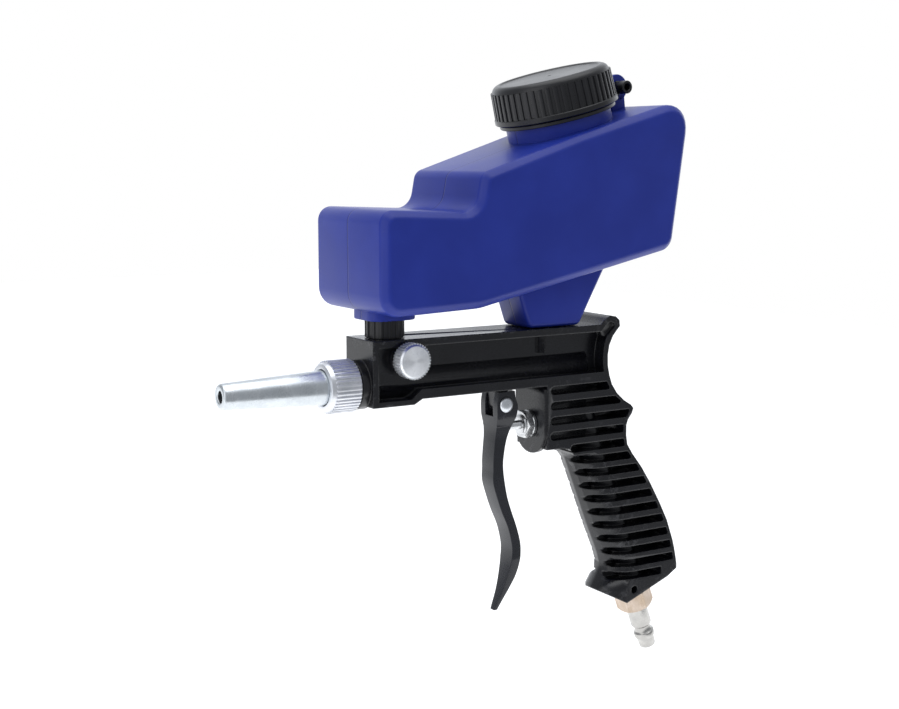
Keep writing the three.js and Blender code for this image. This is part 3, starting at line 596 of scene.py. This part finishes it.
# %% [markdown]
# The trigger is a long curved blade with a fork at the top. Its side outline, two smooth curves through a
# few measured rows, is a plate. Its width narrows below the fork and again at the tip, and its edges are well
# rounded for the fingers. The tapered sides aren't quite flat, so they are split into triangles before the fork
# and the pin's hole are cut, which makes the cuts come out the same each time.
# %% Trigger
# Each row of the blade is (height, front edge, rear edge), and each row of its width (height, half width).
BLADE = [
    (-9.5, 76.8, 86.4), (-13.7, 75.8, 86.9), (-17.5, 75.5, 88.3), (-22.7, 75.7, 87.5), (-27.3, 76.0, 85.9),
    (-31.3, 76.0, 84.1), (-38, 75.4, 82.2), (-45.8, 74.8, 81.0), (-51.1, 74.8, 81.0), (-57.6, 74.8, 81.9),
    (-65.9, 77.3, 83.6), (-73.7, 80.2, 86.2), (-82.2, 84.0, 89.4), (-90.1, 86.2, 91.7), (-95.7, 86.9, 92.3),
    (-102.1, 86.2, 91.8), (-108.9, 84.6, 90.1), (-114.4, 83.0, 87.4), (-119.2, 81.3, 84.6),
    (-123.1, 79.6, 82.2), (-127.2, 77.9, 79.9)]
BLADE_ROUNDING = 1.7
FORK_ROOT = -22.6
FORK_HALF = 3.7
PIVOT_HOLE = 2.08
HALF_WIDTH = [(-8, 8), (-23, 8), (-28, 6.4), (-34, 5.6), (-100, 5.6), (-114, 3.6), (-128, 1.8)]


def half_width(z):
    for (z0, w0), (z1, w1) in zip(HALF_WIDTH, HALF_WIDTH[1:]):
        if z0 >= z >= z1:
            return w0 + (w1 - w0) * (z - z0) / (z1 - z0)
    return HALF_WIDTH[0][1] if z > -8 else HALF_WIDTH[-1][1]


def flowing(points, parts=4):
    """A smooth curve through a row of points: each gap is filled from the two points on either side of it."""
    spots = [Vector(point) for point in [points[0], *points, points[-1]]]
    curve = []
    for before, start, end, after in zip(spots, spots[1:], spots[2:], spots[3:]):
        for part in range(parts):
            t = part / parts
            into = (end - before) * 0.5
            out_of = (after - start) * 0.5
            curve.append(start * (2 * t**3 - 3 * t**2 + 1) + into * (t**3 - 2 * t**2 + t)
                         + end * (3 * t**2 - 2 * t**3) + out_of * (t**3 - t**2))
    return curve + [spots[-1]]


front_line = flowing([(front, z) for z, front, _ in BLADE])
rear_line = flowing([(rear, z) for z, _, rear in BLADE])
side = [tuple(point) for point in front_line + rear_line[::-1]]
blade = plate(side, -1, 1)
for z in range(-20, -126, -4):
    bmesh.ops.bisect_plane(blade, geom=blade.verts[:] + blade.edges[:] + blade.faces[:], dist=0.0001,
                           plane_co=(0, 0, z), plane_no=(0, 0, 1))
for vert in blade.verts:
    vert.co.y *= half_width(vert.co.z)
bevel(blade, [e for e in sharp_edges(blade, 40) if abs(e.verts[0].co.y) > 1], BLADE_ROUNDING, 6)
bmesh.ops.triangulate(blade, faces=blade.faces)
slot = plate([(60, FORK_ROOT), (110, FORK_ROOT), (110, 0), (60, 0)], -FORK_HALF, FORK_HALF)
blade = carved(blade, slot)
hole = turned([(0, -14), (PIVOT_HOLE, -14), (PIVOT_HOLE, 14), (0, 14)], ALONG_Y, PIVOT, 32)
blade = carved(blade, hole)
hand_over("trigger_blade", blade, "trigger_lever", trigger_black_painted_light, ["trigger"], crease=35.0)

# %% [markdown]
# A zinc-plated rivet with a low domed head is the trigger's pivot, kept by a clip on the far side.
# %% Pivot rivet
rivet = turned([
    (0, 10.05), (1.6, 9.95), (2.8, 9.6), (3.6, 9.1), (4.0, 8.6), (4.0, 8.3), (2.0, 8.3), (2.0, -10.1),
    (1.7, -10.4), (0, -10.4),
], TOWARD_SCREW, PIVOT, 64)
hand_over("pivot_rivet", rivet, "gun", pin_zinc, ["trigger_pin"])

# %% [markdown]
# The valve's gland is a six-sided nut with a round boss, and the push stem that the trigger presses comes
# out of its middle. The six corners are trimmed by crossing the prism with a turned double cone.
# %% Valve gland and stem
def hex_prism(across_corners, low, high, axis, base, trim):
    """A six-sided nut along an axis, whose corners are trimmed by a cone at either end."""
    r = across_corners / 2
    prism = bmesh.new()
    bmesh.ops.create_cone(prism, cap_ends=True, segments=6, radius1=r, radius2=r, depth=high - low)
    bmesh.ops.translate(prism, vec=(0, 0, (low + high) / 2), verts=prism.verts)
    bmesh.ops.transform(prism, matrix=placed(axis, base), verts=prism.verts)
    dome = turned([(0, low), (r - trim * 1.6, low), (r, low + trim), (r, high - trim), (r - trim * 1.6, high),
                   (0, high)], axis, base, 72)
    return carved(prism, dome, "INTERSECT")


gland = hex_prism(15.7, 95.4, 99.4, ALONG_X, VALVE_BASE, 0.8)
add_to(gland, turned([(0, 94.4), (4.6, 94.4), (5.1, 94.6), (5.6, 95.5), (0, 95.5)], ALONG_X, VALVE_BASE, 64))
add_to(gland, turned([(0, 99.3), (7.0, 99.3), (7.2, 99.5), (7.2, 101.0), (5.9, 101.0), (5.9, 106), (0, 106)],
                     ALONG_X, VALVE_BASE, 64))
gland = carved(gland, turned([(0, 90), (2.46, 90), (2.46, 110), (0, 110)], ALONG_X, VALVE_BASE, 48))
hand_over("gland_nut", gland, "gun", valve_nickel, ["valve_gland"])
stem = turned([(0, 85.7), (0.9, 85.8), (1.6, 86.2), (2.1, 86.8), (2.4, 87.8), (2.4, 122.4), (0, 122.4)],
              ALONG_X, VALVE_BASE, 48)
hand_over("push_stem", stem, "valve_plunger", valve_nickel, ["valve_stem"])

# %% [markdown]
# At the foot of the grip a brass hexagon screws in, and a nickel quick plug screws into it. The hose
# coupler's balls drop into the plug's groove.
# %% Air inlet
fitting = hex_prism(20.8, -5.7, 5.4, INLET_AXIS, INLET_BASE, 1.0)
add_to(fitting, turned([(4, -21.6), (6.5, -21.6), (6.5, -5.6), (4, -5.6)], INLET_AXIS, INLET_BASE, 48))
hand_over("inlet_hexagon", fitting, "gun", pale_brass, ["inlet_fitting"])
plug = turned([
    (2.9, 5.5), (5.4, 5.5), (5.8, 5.9), (5.8, 17.3), (5.5, 17.8), (4.7, 18.5), (4.6, 18.8), (4.6, 21.2),
    (4.8, 21.6), (5.7, 22.4), (5.8, 22.8), (5.8, 25.0), (5.6, 25.5), (5.0, 26.4), (4.9, 27.0), (4.6, 31.2),
    (4.2, 31.8), (3.8, 32.1), (3.1, 32.1), (2.9, 31.9),
], INLET_AXIS, INLET_BASE, 96)
hand_over("quick_plug_body", plug, "gun", plug_nickel, ["quick_plug"])

# %% [markdown]
# The small inner and half-hidden pieces already have the right shape in the frame, so they keep it and only
# get their finishes.
# %% Carried-over pieces
CARRIED = {
    "nozzle_seal": black_rubber, "nut_washer": white_nylon, "air_jet": pale_brass,
    "air_jet_ring": black_rubber, "lock_screw": pin_zinc, "lock_washer": white_nylon,
    "trigger_pin_clip": pin_zinc, "valve_stem_seal": black_rubber, "valve_seat": pale_brass,
    "valve_poppet": black_rubber, "inlet_washer": pale_brass,
}
for name, material in CARRIED.items():
    mesh = nodes[name].data
    mesh.materials.clear()
    mesh.materials.append(material)
print("carried over:", ", ".join(CARRIED))

# %% [markdown]
# The gun is shown as it is held, with nothing under it, over a plain pale floor far below. Floor and
# background are the same near-white, so no horizon shows.
# %% Floor
FLOOR_HALF = 3.0
FLOOR_BACK = 2.45
FLOOR_DEPTH = -0.34
bm = bmesh.new()
bmesh.ops.create_grid(bm, x_segments=1, y_segments=1, size=FLOOR_HALF)
bmesh.ops.translate(bm, vec=(0, FLOOR_BACK, FLOOR_DEPTH), verts=bm.verts)
mesh = bpy.data.meshes.new("pale_floor")
bm.to_mesh(mesh)
bm.free()
board = Board(bpy.data.materials.new("pale_floor"))
tone = board.noise(3.0, 2.0)
board.finish(Base_Color=board.blend(tone, (0.80, 0.80, 0.80, 1), (0.84, 0.84, 0.84, 1)), Roughness=0.9,
             Emission_Color=(1, 1, 1, 1), Emission_Strength=0.62)
mesh.materials.append(board.material)
floor = bpy.data.objects.new("pale_floor", mesh)
bpy.context.scene.collection.objects.link(floor)
floor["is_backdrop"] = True

# %% [markdown]
# The studio is a pale room: plain white where the lens looks straight at it, and, for the light it sheds, a
# soft gradient that is brightest low down behind the gun, softer overhead, a little stronger on the left, and
# dimmest in front. That gradient gives the glossy black paint and the plated metal something to reflect. Two
# large panels, one on the left and one overhead, put a clear key light on the faces turned that way.
# %% Light
scene = bpy.context.scene
world = bpy.data.worlds.new("studio")
scene.world = world
room = Board(world, "Background")
looking = room.node("ShaderNodeTexCoord", out="Generated")
toward = [room.node("ShaderNodeSeparateXYZ", None, {0: looking}, out=axis) for axis in "XYZ"]
behind = 0.6 * toward[0] + 0.8 * toward[1]
low_wall = 1 - 0.6 * toward[2].between(0.28, 0.55)
glow = (0.40 + 1.05 * behind.between(0.25, 0.95) * low_wall + 0.45 * toward[2].between(0.45, 0.95)
        + 0.10 * (0 - toward[0]).between(0.1, 0.9))
seen = room.node("ShaderNodeLightPath", out="Is Camera Ray")
tint = room.blend(seen, (0.92, 0.95, 1.0, 1), (1, 1, 1, 1))
room.finish(Color=tint, Strength=glow + seen * (1.0 - glow))


def panel(name, place, aim, size, power):
    lamp = bpy.data.lights.new(name, "AREA")
    lamp.shape = "RECTANGLE"
    lamp.size, lamp.size_y = size
    lamp.energy = power
    lamp_object = bpy.data.objects.new(name, lamp)
    lamp_object.location = place
    lamp_object.rotation_euler = (Vector(aim) - Vector(place)).to_track_quat("-Z", "Y").to_euler()
    scene.collection.objects.link(lamp_object)
    return lamp_object


panel("left_panel", (-1.5, -0.45, 0.5), (0, 0, 0.05), (1.2, 1.3), 4.4)
panel("top_panel", (-0.1, -0.1, 1.5), (0, 0, 0.05), (1.7, 1.4), 10)
scene.view_settings.view_transform = "Standard"

# %% [markdown]
# The camera stands ahead of the gun and on its thumb screw's side, a little above the barrel and about
# eighty centimetres from the grip, with a lens that is slightly longer than normal.
# %% Camera
LENS = 58.22
EYE = (-0.4848, -0.6225, 0.1919)
LOOKING = (0.5174, 0.8447, -0.1369)
camera_data = bpy.data.cameras.new("camera")
camera_data.lens = LENS
camera_data.sensor_width = 36.0
camera_data.clip_start = 0.01
camera = bpy.data.objects.new("camera", camera_data)
camera.location = EYE
camera.rotation_euler = Vector(LOOKING).to_track_quat("-Z", "Y").to_euler()
scene.collection.objects.link(camera)
scene.camera = camera
print("camera at", [round(v, 3) for v in camera.location])

# %% [markdown]
# The box of the CAD model and the box of everything visible are measured and printed side by side.
# %% Sizes and last step
visual_box = [list(corner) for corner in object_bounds()]
for title, corners in (("CAD box", cad_box), ("visual box", visual_box)):
    print(title, [[round(value, 4) for value in corner] for corner in corners])
